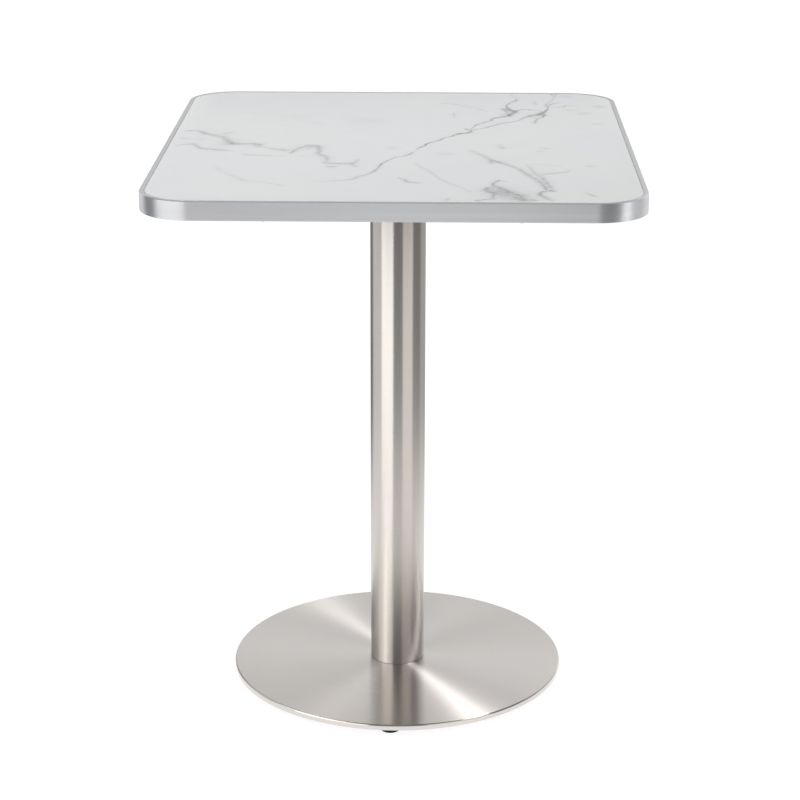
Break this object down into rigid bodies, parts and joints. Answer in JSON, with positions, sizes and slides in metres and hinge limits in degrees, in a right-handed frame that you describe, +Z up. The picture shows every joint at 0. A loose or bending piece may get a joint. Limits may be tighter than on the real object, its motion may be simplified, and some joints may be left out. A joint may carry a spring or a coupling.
{
  "type": "bistro table",
  "caption": "Bistro table with a round-cornered rectangular marble-look top in a metal edge trim, a steel tube column and a round disc base on levelling feet.",
  "frame": {"origin": "on the floor, at the middle of the box of the table at rest, which is on the column's axis", "axes": "+Z up the column, X along the short front edge of the top, +Y from the front edge to the back edge"},
  "size_m": [0.6, 0.7, 0.74],
  "materials": {
    "marble_face": "white sintered stone with soft grey veins, satin polish",
    "fibreboard": "raw medium-density fibreboard",
    "backing_laminate": "dark grey balancing laminate, fine texture",
    "brushed_trim": "brushed along its length, clear anodised",
    "brushed_stainless": "brushed stainless steel, warm grey",
    "black_casting": "black powder coat on a casting",
    "mill_steel": "black primer over rolled steel plate",
    "zinc_steel": "bright zinc plate",
    "black_plastic": "black moulded polyamide"
  },
  "bodies": {
    "table": {"marble_panel": "marble_face", "core_board": "fibreboard", "backing_sheet": "backing_laminate", "edge_trim": "brushed_trim", "top_spider": "black_casting", "column_tube": "brushed_stainless", "column_top_plug": "mill_steel", "column_foot_plug": "mill_steel", "tie_rod": "zinc_steel", "top_nut": "zinc_steel", "top_washer": "zinc_steel", "base_nut": "zinc_steel", "base_washer": "zinc_steel", "base_cover": "brushed_stainless", "ballast_plate": "mill_steel", "trim_screw_1": "zinc_steel", "spider_screw_1": "zinc_steel", "trim_screw_2": "zinc_steel", "spider_screw_2": "zinc_steel", "trim_screw_3": "zinc_steel", "spider_screw_3": "zinc_steel", "trim_screw_4": "zinc_steel", "spider_screw_4": "zinc_steel", "trim_screw_5": "zinc_steel", "spider_screw_5": "zinc_steel", "trim_screw_6": "zinc_steel", "spider_screw_6": "zinc_steel", "trim_screw_7": "zinc_steel", "spider_screw_7": "zinc_steel", "trim_screw_8": "zinc_steel", "spider_screw_8": "zinc_steel"},
    "pad_1": {"foot_pad_1": "black_plastic"},
    "stud_1": {"foot_stud_1": "zinc_steel"},
    "pad_2": {"foot_pad_2": "black_plastic"},
    "stud_2": {"foot_stud_2": "zinc_steel"},
    "pad_3": {"foot_pad_3": "black_plastic"},
    "stud_3": {"foot_stud_3": "zinc_steel"},
    "pad_4": {"foot_pad_4": "black_plastic"},
    "stud_4": {"foot_stud_4": "zinc_steel"}
  },
  "joints": [
    {"name": "foot_1_height", "type": "slide", "parent": "table", "child": "pad_1", "axis": [0, 0, -1], "range_m": [-0.001, 0.0025]},
    {"name": "foot_1_turn", "type": "hinge", "parent": "pad_1", "child": "stud_1", "pos_m": [-0.00537, -0.20493, 0.006], "axis": [0, 0, -1], "range_deg": [-288, 720]},
    {"name": "foot_2_height", "type": "slide", "parent": "table", "child": "pad_2", "axis": [0, 0, -1], "range_m": [-0.001, 0.0025]},
    {"name": "foot_2_turn", "type": "hinge", "parent": "pad_2", "child": "stud_2", "pos_m": [0.20493, -0.00537, 0.006], "axis": [0, 0, -1], "range_deg": [-288, 720]},
    {"name": "foot_3_height", "type": "slide", "parent": "table", "child": "pad_3", "axis": [0, 0, -1], "range_m": [-0.001, 0.0025]},
    {"name": "foot_3_turn", "type": "hinge", "parent": "pad_3", "child": "stud_3", "pos_m": [0.00537, 0.20493, 0.006], "axis": [0, 0, -1], "range_deg": [-288, 720]},
    {"name": "foot_4_height", "type": "slide", "parent": "table", "child": "pad_4", "axis": [0, 0, -1], "range_m": [-0.001, 0.0025]},
    {"name": "foot_4_turn", "type": "hinge", "parent": "pad_4", "child": "stud_4", "pos_m": [-0.20493, 0.00537, 0.006], "axis": [0, 0, -1], "range_deg": [-288, 720]}
  ],
  "couplings": [
    {"joint": "foot_1_turn", "follows": "foot_1_height", "rad_per_m": 5026.5},
    {"joint": "foot_2_turn", "follows": "foot_2_height", "rad_per_m": 5026.5},
    {"joint": "foot_3_turn", "follows": "foot_3_height", "rad_per_m": 5026.5},
    {"joint": "foot_4_turn", "follows": "foot_4_height", "rad_per_m": 5026.5}
  ]
}
